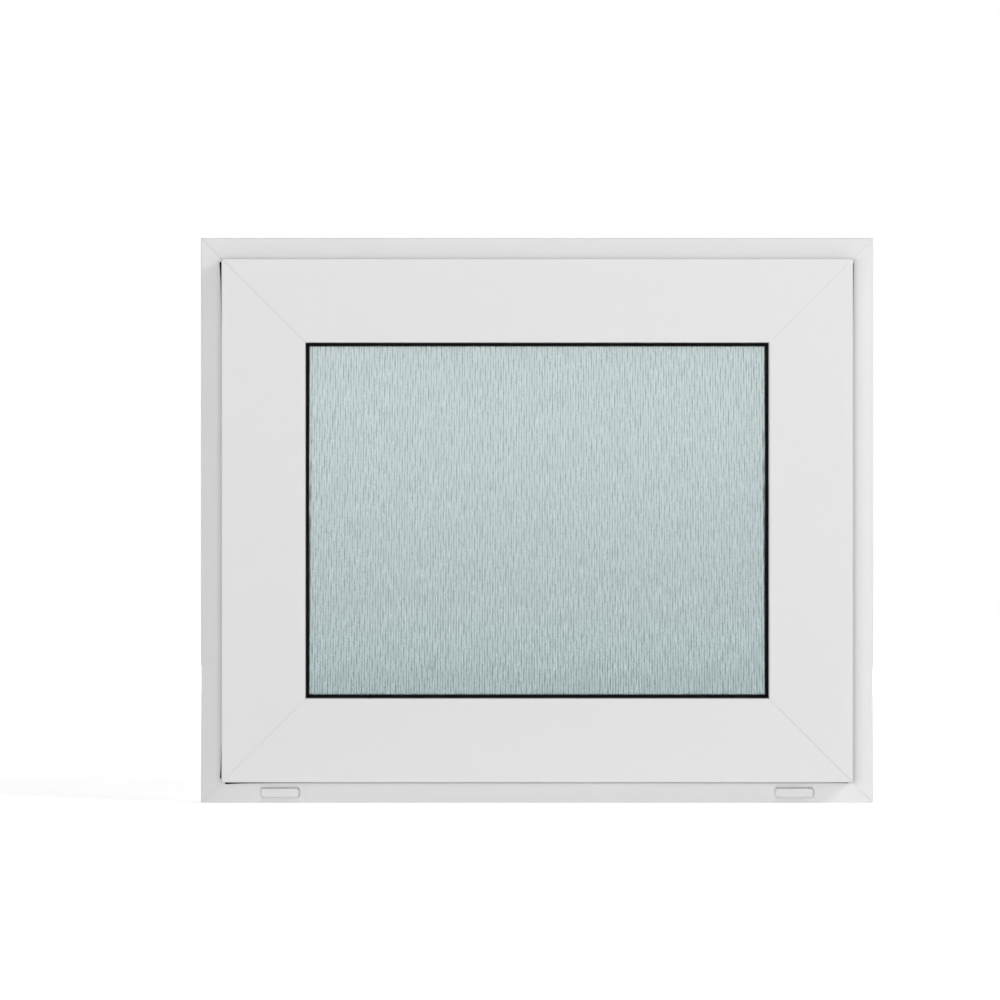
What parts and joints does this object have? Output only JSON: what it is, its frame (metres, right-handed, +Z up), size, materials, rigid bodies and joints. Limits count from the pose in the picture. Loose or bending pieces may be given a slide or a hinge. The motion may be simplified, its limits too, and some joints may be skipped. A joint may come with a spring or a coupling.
{
  "type": "awning window",
  "caption": "Closed top-hung awning window: mitred white plastic frame and lapping sash, obscure sealed glazing in black gaskets, drain covers on the sill, lever handle indoors.",
  "frame": {"origin": "middle of the sill's underside, half way through the frame's depth", "axes": "+Z up, +X to the right seen from outdoors, -Y towards outdoors"},
  "size_m": [0.595, 0.1, 0.5],
  "materials": {
    "white_pvc": "smooth white extruded plastic, satin",
    "black_seal": "matt black elastomer",
    "patterned_glass": "obscure rolled glass with a fine upright pattern",
    "clear_glass": "clear float glass",
    "spacer_aluminium": "mill-finished bar",
    "white_moulding": "moulded white plastic",
    "white_enamel": "white powder coat"
  },
  "bodies": {
    "root": {"drain_cover_left": "white_moulding", "drain_cover_right": "white_moulding", "flange_seal_bottom": "black_seal", "flange_seal_left": "black_seal", "flange_seal_right": "black_seal", "flange_seal_top": "black_seal", "frame_head": "white_pvc", "frame_left_jamb": "white_pvc", "frame_right_jamb": "white_pvc", "frame_sill": "white_pvc", "glass_spacer": "spacer_aluminium", "glazing_bead_bottom": "white_pvc", "glazing_bead_left": "white_pvc", "glazing_bead_right": "white_pvc", "glazing_bead_top": "white_pvc", "handle_base": "white_enamel", "handle_lever": "white_enamel", "inner_gasket_bottom": "black_seal", "inner_gasket_left": "black_seal", "inner_gasket_right": "black_seal", "inner_gasket_top": "black_seal", "inner_pane": "clear_glass", "outer_gasket_bottom": "black_seal", "outer_gasket_left": "black_seal", "outer_gasket_right": "black_seal", "outer_gasket_top": "black_seal", "outer_pane": "patterned_glass", "sash_bottom_rail": "white_pvc", "sash_left_stile": "white_pvc", "sash_right_stile": "white_pvc", "sash_top_rail": "white_pvc", "stop_seal_bottom": "black_seal", "stop_seal_left": "black_seal", "stop_seal_right": "black_seal", "stop_seal_top": "black_seal"}
  },
  "joints": []
}
